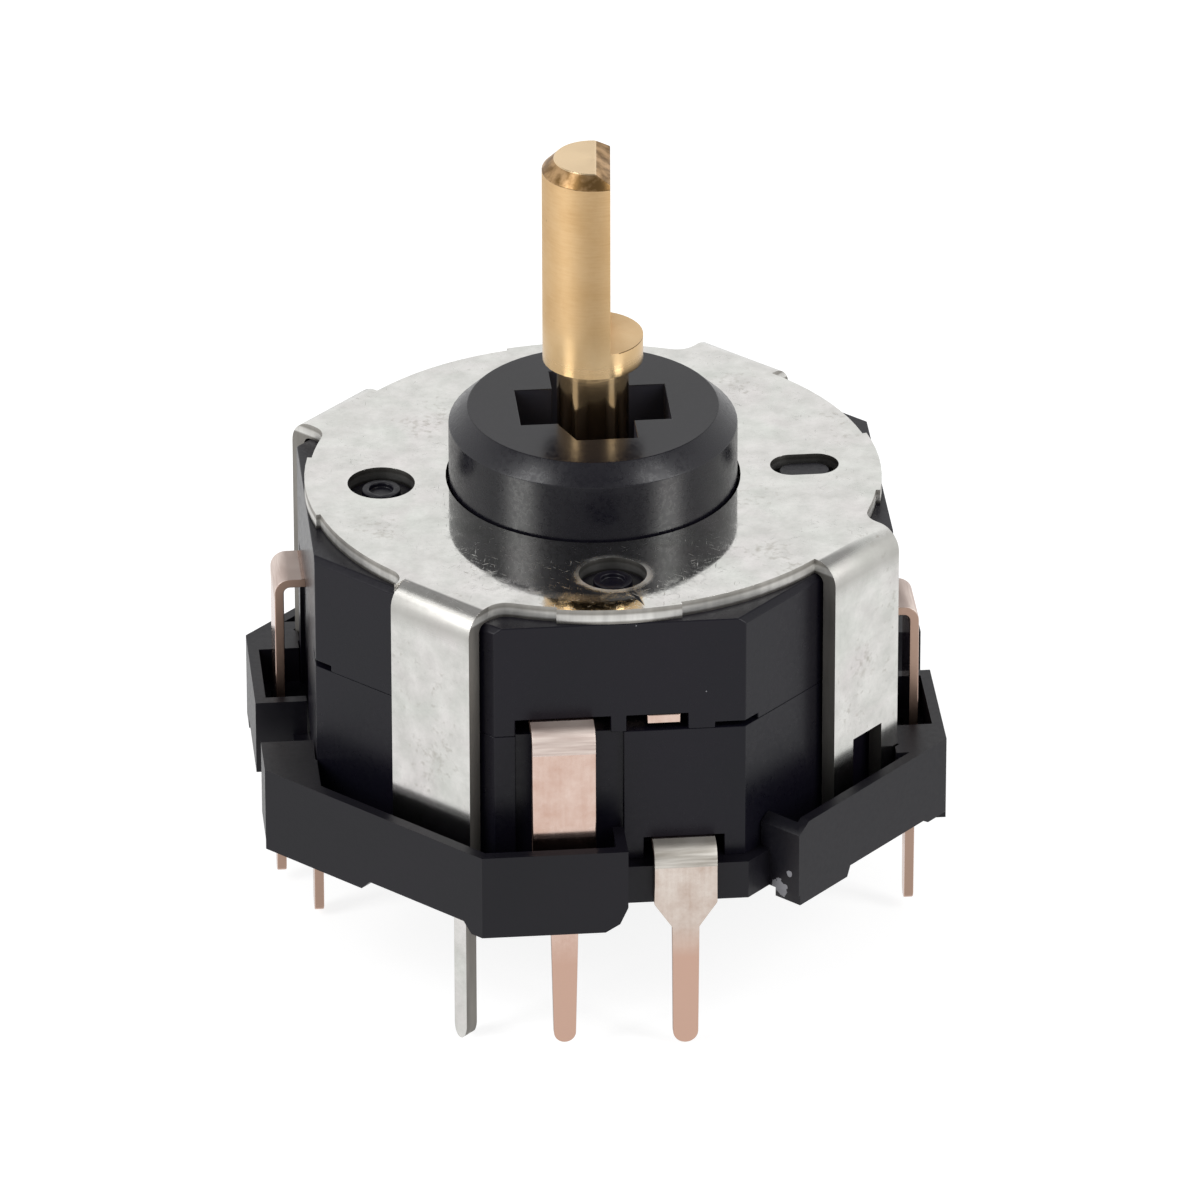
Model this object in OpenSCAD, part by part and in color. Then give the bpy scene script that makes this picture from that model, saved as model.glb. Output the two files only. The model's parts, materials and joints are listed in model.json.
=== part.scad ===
/* [Cover] */
// Thickness of the cover's sheet
sheet = 0.5; // [0.4:0.05:0.6]
// Height of the cover's top above the circuit board
cover_top = 10.6; // [10.4:0.05:10.8]
// Radius of the cover's rim between its tabs
rim_r = 9.06; // [8.9:0.02:9.1]
// Radius of the four tabs over the flat sides
tab_r = 9.2; // [9.15:0.01:9.2]
// Half angle of a tab
tab_half_angle = 12.4; // [8:0.2:14]
// Radius of the hole for the collar
collar_hole_r = 4.7; // [4.7:0.05:5]
// Distance of a leg's outer face from the axis
leg_face = 9.92; // [9.9:0.01:10]
// Width of a leg
leg_w = 3.2; // [3:0.1:3.4]
// Outer radius of the bend at the top of a leg
leg_bend_r = 0.77; // [0.7:0.01:0.77]
// Height of a notched leg's notch above the circuit board
notch_top = 4.0; // [3:0.1:5]
// Depth of the cover's solder pins below the circuit board's face
cover_pin_depth = 4.7; // [3:0.1:5]

/* [Cases] */
// Distance of the four flat sides from the axis
side_apothem = 9.2; // [9.2:0.01:9.25]
// Distance of the four diagonal sides from the axis
diagonal_apothem = 9.3; // [9.25:0.01:9.35]
// Height of the parting line between the two cases
parting_z = 6.25; // [6.2:0.01:6.25]
// Height of the base's flange, where the lower case stands on it
flange_top = 1.65; // [1.6:0.01:1.7]

/* [Base] */
// Distance of the skirt's outer faces from the axis
skirt_apothem = 10.9; // [10.8:0.05:11.2]
// Thickness of the skirt's walls
skirt_wall = 0.35; // [0.3:0.01:0.4]
// Height of the skirt above the circuit board
skirt_top = 2.87; // [2.75:0.01:3.1]
// Height of the standoff feet
standoff = 0.35; // [0.3:0.05:0.35]

/* [Rotor] */
// Radius of the collar
collar_r = 4.6; // [4.5:0.02:4.6]
// Height of the collar's top above the circuit board
collar_top = 13.08; // [12.6:0.02:13.2]
// Height of the foot of the collar's chamfer
collar_chamfer_z = 12.5; // [12.2:0.05:12.55]
// Half length of the cross opening
cross_reach = 2.4; // [2.4:0.05:2.6]
// Half width of the cross opening's arms
cross_half_w = 1.2; // [1.2:0.05:1.3]
// Number of clicks in a turn
detents = 30; // [12:6:30]

/* [Shaft] */
// Radius of the shaft
shaft_r = 1.6; // [1.5:0.05:1.7]
// Height of the shaft's tip above the circuit board
shaft_top = 21.83; // [19:0.1:25]
// Height of the ledge below the shaft's flat
flat_foot = 15.61; // [15.4:0.05:16.5]
// Distance of the shaft's flat from the axis
flat_offset = 0.56; // [0.4:0.02:0.8]
// Turn of the shaft as it stands, within a click
shaft_turn = -5.2; // [-6:0.1:6]
// Chamfer around the shaft's tip
tip_chamfer = 0.4; // [0.2:0.05:0.5]
// Radius of the shaft's neck
neck_r = 1.15; // [1.1:0.01:1.15]

/* [Terminals] */
// Thickness of the terminals' sheet
terminal_sheet = 0.3; // [0.25:0.01:0.3]
// Width of a terminal's blade
blade_w = 2.0; // [1.8:0.05:2.05]
// Offset of an encoder terminal from the middle of its side
encoder_offset = -1.85; // [-1.9:0.01:-1.8]
// Offset of a switch terminal from the middle of its side
switch_offset = 2.0; // [1.95:0.01:2.05]
// Depth of the terminals' pins below the circuit board's face
terminal_depth = 4.6; // [3:0.1:5]

/* [Hidden] */
$fn = 72;
eps = 0.01;

zinc = "#d9d9d6";
black = "#2a2b30";
brass = "#cfa76a";
copper = "#ddb8a5";
steel = "#b9bcc0";
bronze = "#c79a5e";
natural = "#e6e1d3";

// Directions of the four flat sides and of the four legs, counterclockwise from the right
front = -90;
right = 0;
back = 90;
left = 180;
pinned_legs = [45, 225];
notched_legs = [135, 315];

plate_low = cover_top - sheet;
bend_start = leg_face - leg_bend_r;
bend_low = cover_top - leg_bend_r;
root_fillet_r = 0.7;
cover_pin_w = 0.5;
cover_pin_near = 2.5;
leg_foot = 1.0;
notch_near = 0.96;
notch_far = 2.39;
clinch_reach = 8.2;
clinch_low = 0.36;
clinch_bend_r = 0.7;
round_hole = 2.15;
hole_reach = 6.77;
slot_hole = [2.2, 1.4];
boss_r = 0.62;
boss_dimple_r = 0.38;
boss_top = 10.4;

cavity_r = 8.2;
case_top = plate_low;
upper_ceiling = 9.1;
lower_ceiling = 5.65;
ceiling_hole_r = 4.2;
running_gap = 0.05;
slot_gap = 0.05;

pad_r = 1.78;
centre_pad_r = 2.08;
pad_sheet = 0.1;
pad_gap = 0.02;
block_r = 8.15;
block_top = 2.45;
groove_in = 2.95;
groove_out = 3.7;
groove_floor = 0.95;
flange_apothem = 9.7;
wall_end = 0.1;
wrap_end = 2.7;
open_end = -2.97;
open_end_top = 2.53;
foot_depth = 1;
skirt_corner = skirt_apothem * tan(22.5);
beyond = 12;

terminal_bend_r = 0.5;
encoder_level = 6.8;
encoder_face = 10.17;
encoder_root = 7.3;
encoder_shoulder = 1.05;
encoder_pin_top = 1.0;
encoder_pin_w = 0.92;
encoder_tip_w = 0.7;
switch_level = 2.4;
switch_face = 10.1;
inner_face = 9.12;
inner_offset = 0.4;
right_offset = 2;
inner_pins = [[left, inner_offset], [back, inner_offset], [right, right_offset]];
pin_w = 0.86;
switch_root = 7.55;
switch_shoulder = 0.45;
switch_pin_top = -0.4;
switch_tip_w = 0.8;
bar_near = 7.4;
bar_far = 8.1;
tongue_near = 6.4;
tongue_half = 0.6;
tie_near = 0.86;
tie_far = 1.9;

tilt_z = 7.0;
gimbal_pin_r = 0.3;
gimbal_pin_gap = 0.04;
pressed_gap = 0.01;
lug_near = 4.25;
lug_far = 5.15;
lug_top = 7.65;
ring_in = 3.0;
ring_out = 4.05;
hub_r = 2.7;
sleeve_r = 1.9;
sleeve_low = 4.2;
arms_low = 7.75;
sleeve_top = 8.6;
disc_r = 6.9;
disc_low = 4.4;
disc_top = 5.0;
presser_reach = 5.6;
presser_low = 3.3;
flange_low = 7.9;
rotor_flange_top = 8.5;
rib_top = 8.6;
key_half = 0.9;
key_gap = 0.05;
rotor_flange_r = 7.7;
rib_near = 5.4;
rib_far = 7.5;
rib_half = 0.2;
key_corner_x = -0.72;
key_corner_y = -1.3;
sleeve_gap = 0.2;
shaft_shoulder = 14.77;
groove_low = 3.85;
groove_high = 4.15;
groove_r = 0.7;
clip_low = 3.9;
clip_high = 4.1;

code_in = 5.7;
code_out = 7.2;
code_top = 6.95;
track_near = 6.35;
track_far = 6.75;

detent_reach = 6.3;
peg_r = 0.35;
peg_h = 0.2;

spring_r = 3.3;
wire_r = 0.175;
wire_sides = 8;
spring_turns = 4;
turn_steps = 24;
spring_low = groove_floor + wire_r;
spring_high = disc_low - 0.02 - wire_r;
spring_steps = spring_turns * turn_steps;

// A child placed on one side: x points out of the side, y runs counterclockwise along it
module on_side(direction) rotate(direction) children();

// An outline in x and z, drawn out along y
module across(from, to) {
    translate([0, to, 0]) rotate([90, 0, 0]) linear_extrude(to - from) children();
}

// An outline in y and z, drawn out along x
module along(from, to) {
    translate([from, 0, 0]) rotate([90, 0, 90]) linear_extrude(to - from) children();
}

// A box given by its ranges
module span(x, y, z) {
    translate([x[0], y[0], z[0]]) cube([x[1] - x[0], y[1] - y[0], z[1] - z[0]]);
}

module ring(r_in, r_out, low, high) {
    translate([0, 0, low]) difference() {
        cylinder(r = r_out, h = high - low);
        translate([0, 0, -eps]) cylinder(r = r_in, h = high - low + 2 * eps);
    }
}

// Octagon with its own distances for the flat sides and for the diagonal ones
module octagon(side, diagonal) {
    intersection() {
        square(2 * side, center = true);
        rotate(45) square(2 * diagonal, center = true);
    }
}

module prism(low, high) translate([0, 0, low]) linear_extrude(high - low) children();

// Section of a sheet that runs level to a bend and then down
module bent_section(root, face, level, low, thickness, bend) {
    translate([root, level - thickness]) square([face - bend - root, thickness]);
    translate([face - bend, level - bend]) intersection() {
        difference() {
            circle(r = bend);
            circle(r = bend - thickness);
        }
        square(bend);
    }
    translate([face - thickness, low]) square([thickness, level - bend - low]);
}

// Concave corner where a leg's side leaves the cover's rim, set off by a hair from both so that
// its arc crosses the edges that bound it squarely
module root_fillet(side, outward) {
    hair = 0.004;
    inset = 0.1;
    centre_y = side + outward * (root_fillet_r + hair);
    centre_x = sqrt(pow(rim_r + root_fillet_r + hair, 2) - pow(centre_y, 2));
    towards = [centre_x, centre_y] / norm([centre_x, centre_y]);
    rim_out = towards * (rim_r + inset);
    rim_in = towards * (rim_r - 1);
    difference() {
        polygon([[centre_x, leg_w / 2], [centre_x, side + outward * inset], rim_out, rim_in,
            [rim_in[0], leg_w / 2]]);
        translate([centre_x, centre_y]) circle(r = root_fillet_r);
    }
}

module leg_plan() {
    square([leg_face, leg_w]);
    root_fillet(0, -1);
    root_fillet(leg_w, 1);
}

module tab() {
    edge = tab_r * tan(tab_half_angle);
    intersection() {
        circle(r = tab_r);
        polygon([[0, 0], [tab_r, -edge], [tab_r, edge]]);
    }
}

module slot_outline(size) {
    reach = (size[0] - size[1]) / 2;
    translate([-reach, 0]) circle(d = size[1]);
    translate([reach, 0]) circle(d = size[1]);
    square([2 * reach, size[1]], center = true);
}

module cover_plan() {
    circle(r = rim_r);
    for (direction = [right, back, left, front]) rotate(direction) tab();
    for (direction = concat(pinned_legs, notched_legs)) rotate(direction) leg_plan();
}

// Quarter of a bent sheet, seen from its side, about the middle of its bend
module bend_section(bend) {
    intersection() {
        difference() {
            circle(r = bend);
            circle(r = bend - sheet);
        }
        square(bend);
    }
}

// The sheet before its outline is cut: flat, and bent down over the diagonal sides
module folded_sheet() {
    prism(plate_low, cover_top) octagon(leg_face, bend_start);
    for (direction = concat(pinned_legs, notched_legs)) on_side(direction)
        across(-1, leg_w + 1) {
            translate([bend_start, bend_low]) bend_section(leg_bend_r);
            translate([bend_start - 1, plate_low]) square([1, sheet]);
        }
}

module leg_span(y, z) span([leg_face - sheet, leg_face], y, z);

module pinned_leg() {
    tip = -cover_pin_depth;
    half = cover_pin_w / 2;
    leg_span([0, leg_w], [leg_foot, bend_low]);
    along(leg_face - sheet, leg_face) translate([cover_pin_near + half, 0]) {
        translate([-half, tip + 2 * half]) square([cover_pin_w, leg_foot - tip - 2 * half + eps]);
        translate([0, tip + 2 * half]) scale([1, 2]) circle(r = half);
    }
}

module clinched_prong(from, to) {
    bend_z = clinch_low + clinch_bend_r;
    bend_x = leg_face - clinch_bend_r;
    across(from, to) {
        translate([clinch_reach, clinch_low]) square([bend_x - clinch_reach, sheet]);
        translate([bend_x, bend_z]) mirror([0, 1]) bend_section(clinch_bend_r);
        translate([leg_face - sheet, bend_z]) square([sheet, notch_top - bend_z]);
    }
}

module notched_leg() {
    leg_span([0, leg_w], [notch_top, bend_low]);
    clinched_prong(0, notch_near);
    clinched_prong(notch_far, leg_w);
}

module cover() color(zinc) {
    difference() {
        intersection() {
            folded_sheet();
            prism(bend_low, cover_top) cover_plan();
        }
        prism(bend_low, cover_top + 1) {
            circle(r = collar_hole_r);
            translate([0, -hole_reach]) circle(d = round_hole);
            translate([-hole_reach, 0]) circle(d = round_hole);
            translate([hole_reach, 0]) slot_outline(slot_hole);
        }
    }
    for (direction = pinned_legs) on_side(direction) pinned_leg();
    for (direction = notched_legs) on_side(direction) notched_leg();
}

// Notch under the upper case at the counterclockwise end of a flat side
module corner_gap() {
    corner = diagonal_apothem * sqrt(2) - side_apothem;
    depth = 0.5;
    height = 0.2;
    on_side(right) span([side_apothem - depth, side_apothem + 1], [3.0, corner + 0.2],
        [parting_z - eps, parting_z + height]);
    on_side(45) span([diagonal_apothem - depth, diagonal_apothem + 1], [-3.9, -3.07],
        [parting_z - eps, parting_z + height]);
}

// Chamfer on a diagonal side's top edge, clear of the bend of the cover's leg
module bend_relief() {
    size = 0.18;
    across(-4, 4) polygon([[diagonal_apothem - size, case_top + eps],
        [diagonal_apothem + eps, case_top - size], [diagonal_apothem + 1, case_top + eps]]);
}

module upper_case() color(black) {
    difference() {
        union() {
            prism(parting_z, case_top) octagon(side_apothem, diagonal_apothem);
            translate([0, -hole_reach, 0]) cylinder(r = boss_r, h = boss_top);
            translate([-hole_reach, 0, 0]) cylinder(r = boss_r, h = boss_top);
            translate([hole_reach, 0, 0]) prism(0, boss_top) slot_outline([1.6, 0.95]);
        }
        translate([0, 0, -eps]) cylinder(r = cavity_r, h = upper_ceiling + eps);
        cylinder(r = collar_r + running_gap, h = cover_top);
        for (place = [[0, -hole_reach], [-hole_reach, 0]])
            translate([place[0], place[1], boss_top - 0.15]) cylinder(r = boss_dimple_r, h = 1);
        for (direction = [front, right, left]) on_side(direction)
            span([cavity_r - 1, side_apothem + 1], [-3.3, -0.3], [parting_z - eps, encoder_level + eps]);
        on_side(front) span([cavity_r - 1, side_apothem + 1], [0.2, 2.15],
            [parting_z - eps, encoder_level + eps]);
        for (direction = [right, back, left, front]) rotate(direction) corner_gap();
        for (direction = concat(pinned_legs, notched_legs)) on_side(direction) bend_relief();
    }
    for (side = [-1, 1])
        translate([0, side * detent_reach, upper_ceiling - peg_h]) cylinder(r = peg_r, h = peg_h + eps);
}

module middle_case() color(black) {
    difference() {
        union() {
            prism(flange_top, parting_z) octagon(side_apothem, diagonal_apothem);
            for (side = [0, 180]) rotate(side) span([lug_near, lug_far], [-1, 1], [parting_z - 0.5, lug_top]);
        }
        translate([0, 0, flange_top - eps]) cylinder(r = cavity_r, h = lower_ceiling - flange_top + eps);
        cylinder(r = ceiling_hole_r, h = cover_top);
        translate([-lug_far - 1, 0, tilt_z]) rotate([0, 90, 0])
            cylinder(r = gimbal_pin_r + pressed_gap, h = 2 * lug_far + 2);
        for (direction = [front, right, left]) on_side(direction)
            span([side_apothem - 0.15, side_apothem + 1], [-3.3, 0.12], [0, parting_z + 1]);
        for (direction = [front, back]) on_side(direction)
            span([cavity_r - 1, side_apothem + 1], [0.75, 3.3], [0, switch_level + eps]);
        for (pin = inner_pins) on_side(pin[0])
            span([cavity_r - 1, side_apothem + 1], [pin[1] - 0.5, pin[1] + 0.5],
                [0, switch_level + eps]);
        on_side(back) span([cavity_r - 1, side_apothem + 1], [-2.95, -0.75], [0, switch_level + eps]);
    }
}

// Skirt from a diagonal side to the middle of the front, and the floor that carries it; the child is
// the stretch that it covers. A closed one has a wall across the channel at its end
module skirt(closed = false) {
    inner = skirt_apothem - skirt_wall;
    prism(standoff, skirt_top) intersection() {
        union() {
            difference() {
                octagon(skirt_apothem, skirt_apothem);
                octagon(inner, inner);
            }
            if (closed) end_wall();
        }
        children();
    }
    prism(standoff, flange_top) intersection() {
        octagon(skirt_apothem, skirt_apothem);
        children();
    }
    span([wall_end - skirt_wall, wall_end], [-skirt_apothem, -side_apothem - slot_gap],
        [standoff, skirt_top]);
}

module wrapped_stretch() translate([-beyond, -beyond]) square([beyond + wall_end, beyond - wrap_end]);

// The wrapped stretch, cut off square on the diagonal side
module open_stretch() intersection() {
    wrapped_stretch();
    rotate(225) translate([-beyond, open_end]) square([3 * beyond, 3 * beyond]);
}

// Solid corner of the skirt up to the case's faces
module corner_block(x, y) {
    prism(standoff, skirt_top) difference() {
        intersection() {
            octagon(skirt_apothem, skirt_apothem);
            translate([x[0], y[0]]) square([x[1] - x[0], y[1] - y[0]]);
        }
        octagon(side_apothem + slot_gap, diagonal_apothem + slot_gap);
    }
}

// Standoff foot under the skirt's wall; from and to are the ends of its underside, and each slope is
// how much longer it is above
module foot(direction, from, to, slope_from = 0, slope_to = 0, low = 0) {
    on_side(direction) along(skirt_apothem - foot_depth, skirt_apothem)
        polygon([[from - slope_from, standoff + eps], [from, low], [to, low],
            [to + slope_to, standoff + eps]]);
}

// Sloped lower corner at the free end of a wrapped skirt
module wall_end_slope() {
    foot_end = -0.62;
    step = [-0.16, 0.28];
    high = 0.88;
    across(-skirt_apothem - 1, -flange_apothem - eps) polygon([[foot_end, -1], [foot_end, 0], step,
        [wall_end + eps, high], [wall_end + eps, -1]]);
}

module wrapped_skirt() {
    corner_far = -5.7;
    difference() {
        union() {
            skirt() wrapped_stretch();
            foot(front, -skirt_corner, wall_end);
        }
        wall_end_slope();
    }
    corner_block([-beyond, -side_apothem], [corner_far, -wrap_end]);
    foot(225, -skirt_corner, -0.5, 0, 0.35);
    foot(225, 4.06, skirt_corner, 0.33, 0);
}

// Outline of the wall across the channel, which the open stretch cuts off outside
module end_wall() {
    near = diagonal_apothem + slot_gap;
    rotate(225) translate([near, open_end - 1])
        square([skirt_apothem - skirt_wall / 2 - near, 1 + skirt_wall]);
}

module open_end_slope() {
    slope_end = open_end + 0.5;
    on_side(225) along(diagonal_apothem, skirt_apothem + 1) polygon([[open_end - 1, open_end_top],
        [open_end, open_end_top], [slope_end, skirt_top], [slope_end, skirt_top + 1],
        [open_end - 1, skirt_top + 1]]);
}

module open_skirt() {
    corner_left = -5.3;
    corner_right = -3.5;
    difference() {
        skirt(closed = true) open_stretch();
        open_end_slope();
    }
    corner_block([corner_left, corner_right], [-beyond, -side_apothem]);
    foot(225, -2.9, -0.52, 0, 0.16);
    foot(225, 3.6, skirt_corner, 0.25, 0, 0.2);
    foot(front, -skirt_corner, corner_right);
}

// Way through the base for an encoder blade and its pin
module blade_slot() {
    wide = blade_w / 2 + slot_gap;
    narrow = 0.5;
    span([encoder_face - terminal_sheet - slot_gap, encoder_face + slot_gap],
        [encoder_offset - wide, encoder_offset + wide], [0.95, 4]);
    span([encoder_face - terminal_sheet - slot_gap, encoder_face + slot_gap],
        [encoder_offset - narrow, encoder_offset + narrow], [-1, 4]);
}

module base() color(black) {
    difference() {
        union() {
            translate([0, 0, standoff]) cylinder(r = block_r, h = block_top - standoff);
            prism(standoff, flange_top) octagon(flange_apothem, flange_apothem);
            for (direction = [0, 180]) rotate(direction) wrapped_skirt();
            for (direction = [90, 270]) rotate(direction) open_skirt();
        }
        ring(groove_in, groove_out, groove_floor, 4);
        for (k = [0 : 3]) rotate(90 * k) translate([presser_reach, 0, block_top - pad_sheet])
            cylinder(r = pad_r + pad_gap, h = 1);
        translate([0, 0, block_top - pad_sheet]) cylinder(r = centre_pad_r + pad_gap, h = 1);
        for (direction = pinned_legs) on_side(direction) {
            span([leg_face - sheet - slot_gap, leg_face + slot_gap], [-slot_gap, leg_w + slot_gap],
                [leg_foot - slot_gap, 4]);
            span([leg_face - sheet - slot_gap, leg_face + slot_gap],
                [cover_pin_near - slot_gap, cover_pin_near + cover_pin_w + slot_gap], [-1, 4]);
        }
        for (direction = notched_legs) on_side(direction) {
            for (prong = [[-slot_gap, notch_near + slot_gap], [notch_far - slot_gap, leg_w + slot_gap]]) {
                span([leg_face - sheet - slot_gap, leg_face + slot_gap], prong, [-1, 4]);
                span([clinch_reach - slot_gap, leg_face + slot_gap], prong,
                    [-1, clinch_low + sheet + slot_gap]);
                span([leg_face - clinch_bend_r, leg_face], prong, [-1, clinch_low + clinch_bend_r]);
            }
        }
        for (direction = [front, right, left, back]) on_side(direction) blade_slot();
        for (direction = [front, back]) on_side(direction)
            span([switch_root - slot_gap, switch_face + slot_gap],
                [switch_offset - blade_w / 2 - slot_gap, switch_offset + blade_w / 2 + slot_gap],
                [switch_level - terminal_sheet, 4]);
        for (pin = inner_pins) on_side(pin[0]) {
            span([switch_root - slot_gap, inner_face + slot_gap],
                [pin[1] - pin_w / 2 - slot_gap, pin[1] + pin_w / 2 + slot_gap],
                [switch_level - terminal_sheet, 4]);
            span([inner_face - terminal_bend_r, inner_face + slot_gap],
                [pin[1] - pin_w / 2 - slot_gap, pin[1] + pin_w / 2 + slot_gap], [-1, 4]);
        }
        on_side(back) span([switch_root - slot_gap, encoder_face],
            [encoder_offset - blade_w / 2 - slot_gap, encoder_offset + blade_w / 2 + slot_gap],
            [switch_level - terminal_sheet, 4]);
    }
}

// Blade that narrows at its shoulders to a pin, drawn about the middle of its width
module blade_outline(top, shoulder, pin_top, top_w, tip_w, depth) {
    polygon([[-blade_w / 2, top], [-blade_w / 2, shoulder], [-top_w / 2, pin_top],
        [-tip_w / 2, -depth + tip_w / 2], [tip_w / 2, -depth + tip_w / 2], [top_w / 2, pin_top],
        [blade_w / 2, shoulder], [blade_w / 2, top]]);
    translate([0, -depth + tip_w / 2]) circle(d = tip_w);
}

module encoder_blade(root) {
    bend_low = encoder_level - terminal_bend_r;
    across(encoder_offset - blade_w / 2, encoder_offset + blade_w / 2)
        bent_section(root, encoder_face, encoder_level, bend_low - eps, terminal_sheet, terminal_bend_r);
    along(encoder_face - terminal_sheet, encoder_face) translate([encoder_offset, 0])
        blade_outline(bend_low, encoder_shoulder, encoder_pin_top, encoder_pin_w, encoder_tip_w,
            terminal_depth - 0.25);
}

module encoder_terminal_front() color(copper) on_side(front) {
    low = encoder_level - terminal_sheet;
    encoder_blade(encoder_root);
    span([bar_near, bar_far], [encoder_offset - blade_w / 2, tie_far], [low, encoder_level]);
    span([bar_far - eps, side_apothem], [tie_near, tie_far], [low, encoder_level]);
    span([tongue_near, bar_near + eps], [-tongue_half, tongue_half], [low, encoder_level]);
}

module encoder_terminal_right() color(copper) on_side(right) encoder_blade(encoder_root);

module encoder_terminal_left() color(copper) on_side(left) encoder_blade(encoder_root);

// Switch terminal with a full-width blade outside the base
module switch_blade(offset, face, shoulder, pin_top) {
    bend_low = switch_level - terminal_bend_r;
    across(offset - blade_w / 2, offset + blade_w / 2)
        bent_section(switch_root, face, switch_level, bend_low - eps, terminal_sheet, terminal_bend_r);
    along(face - terminal_sheet, face) translate([offset, 0])
        blade_outline(bend_low, shoulder, pin_top, pin_w, switch_tip_w, terminal_depth);
}

// Switch terminal that goes down as a plain pin inside the skirt
module inner_pin(offset) {
    low = -terminal_depth + switch_tip_w / 2;
    across(offset - pin_w / 2, offset + pin_w / 2)
        bent_section(switch_root, inner_face, switch_level, 0, terminal_sheet, terminal_bend_r);
    along(inner_face - terminal_sheet, inner_face) translate([offset, 0]) {
        polygon([[-pin_w / 2, eps], [-switch_tip_w / 2, low], [switch_tip_w / 2, low], [pin_w / 2, eps]]);
        translate([0, low]) circle(d = switch_tip_w);
    }
}

module switch_terminal_front() color(copper) on_side(front)
    switch_blade(switch_offset, switch_face, switch_shoulder, switch_pin_top);

module switch_terminal_left() color(copper) on_side(left) inner_pin(inner_offset);

module switch_terminal_right() color(copper) on_side(right) inner_pin(right_offset);

module switch_terminal_back_near() color(copper) on_side(back)
    switch_blade(switch_offset, switch_face, switch_shoulder, switch_pin_top);

module switch_terminal_back_middle() color(copper) on_side(back) inner_pin(inner_offset);

module switch_terminal_back_far() color(copper) on_side(back)
    switch_blade(encoder_offset, encoder_face, encoder_shoulder, encoder_pin_top);

module code_plate() color(black) {
    low = encoder_level - terminal_sheet;
    difference() {
        ring(code_in - 0.4, block_r, parting_z, code_top);
        ring(code_in - 0.1, code_out + 0.05, encoder_level, code_top + 1);
        on_side(front) {
            span([bar_near - slot_gap, 9], [encoder_offset - blade_w / 2 - slot_gap, tie_far + slot_gap],
                [low, encoder_level]);
            span([tongue_near - slot_gap, 9], [-tongue_half - slot_gap, tongue_half + slot_gap],
                [low, encoder_level]);
            span([encoder_root - slot_gap, 9],
                [encoder_offset - blade_w / 2 - slot_gap, encoder_offset + blade_w / 2 + slot_gap],
                [low, encoder_level]);
        }
        for (direction = [right, left]) on_side(direction)
            span([encoder_root - slot_gap, 9],
                [encoder_offset - blade_w / 2 - slot_gap, encoder_offset + blade_w / 2 + slot_gap],
                [low, encoder_level]);
    }
}

module code_ring() color(bronze) {
    windows = 15;
    window_half = 0.55;
    difference() {
        ring(code_in, code_out, encoder_level, code_top);
        for (k = [0 : windows - 1]) rotate(360 * k / windows)
            span([track_near - 0.05, track_far + 0.05], [-window_half, window_half], [6, 7.5]);
    }
}

module detent_spring() color(steel) {
    low = upper_ceiling - 0.15;
    bump_r = 0.5;
    bump_low = 8.65;
    bump_w = 1.2;
    slit_in = 6.2;
    slit_out = 6.35;
    difference() {
        ring(5.2, 7.4, low, upper_ceiling);
        for (side = [-1, 1]) translate([0, side * detent_reach, 8]) cylinder(r = peg_r + slot_gap, h = 2);
        for (k = [0 : 1]) rotate(180 * k + 30)
            intersection() {
                ring(slit_in, slit_out, 8, 10);
                linear_extrude(12) polygon([[0, 0], [9, 0], [9, 9], [0, 9]]);
            }
    }
    for (side = [-1, 1]) intersection() {
        translate([side * detent_reach - bump_w / 2, 0, bump_low + bump_r]) rotate([0, 90, 0])
            cylinder(r = bump_r, h = bump_w);
        span([-8, 8], [-1, 1], [8, low + eps]);
    }
}

// Cross whose front arm has one corner cut off, drawn in by a gap
module keyed_cross(gap) {
    reach = cross_reach - gap;
    half = cross_half_w - gap;
    difference() {
        union() {
            square([2 * reach, 2 * half], center = true);
            square([2 * half, 2 * reach], center = true);
        }
        polygon([[-cross_half_w - 1, key_corner_y + gap], [-cross_half_w, key_corner_y + gap],
            [key_corner_x + gap, -cross_reach], [key_corner_x + gap, -cross_reach - 1],
            [-cross_half_w - 1, -cross_reach - 1]]);
    }
}

module rotor() color(black) {
    difference() {
        union() {
            translate([0, 0, flange_low]) cylinder(r = rotor_flange_r, h = rotor_flange_top - flange_low);
            for (k = [0 : detents - 1]) rotate(360 * (k + 0.5) / detents)
                span([rib_near, rib_far], [-rib_half, rib_half], [rotor_flange_top - eps, rib_top]);
            translate([0, 0, flange_low]) cylinder(r = collar_r, h = collar_chamfer_z - flange_low);
            translate([0, 0, collar_chamfer_z])
                cylinder(r1 = collar_r, r2 = collar_r - 0.6, h = collar_top - collar_chamfer_z);
        }
        prism(flange_low - 1, collar_top + 1) keyed_cross(0);
    }
}

module brush() color(bronze) {
    leaf = 0.12;
    top = flange_low - 0.15;
    touch = 6.98;
    ring(5.9, 7.3, top, flange_low);
    for (k = [0 : 2]) rotate(120 * k) along(track_near, track_far)
        polygon([[0, top + eps], [0, top - leaf], [1.6, touch], [2.1, touch], [2.1, touch + leaf],
            [1.6, touch + leaf], [leaf, top + eps]]);
}

module gimbal_ring() color(natural) {
    reach = ring_out + 1;
    difference() {
        ring(ring_in, ring_out, tilt_z - 0.55, tilt_z + 0.55);
        translate([-reach, 0, tilt_z]) rotate([0, 90, 0])
            cylinder(r = gimbal_pin_r + gimbal_pin_gap, h = 2 * reach);
        translate([0, -reach, tilt_z]) rotate([-90, 0, 0])
            cylinder(r = gimbal_pin_r + pressed_gap, h = 2 * reach);
    }
}

module pin_pair(near, far) {
    for (side = [0, 180]) rotate(side) translate([near, 0, tilt_z]) rotate([0, 90, 0])
        cylinder(r = gimbal_pin_r, h = far - near);
}

module gimbal_outer_pins() color(steel) pin_pair(3.2, lug_far);

module gimbal_inner_pins() color(steel) rotate(90) pin_pair(2.05, 3.95);

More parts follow.
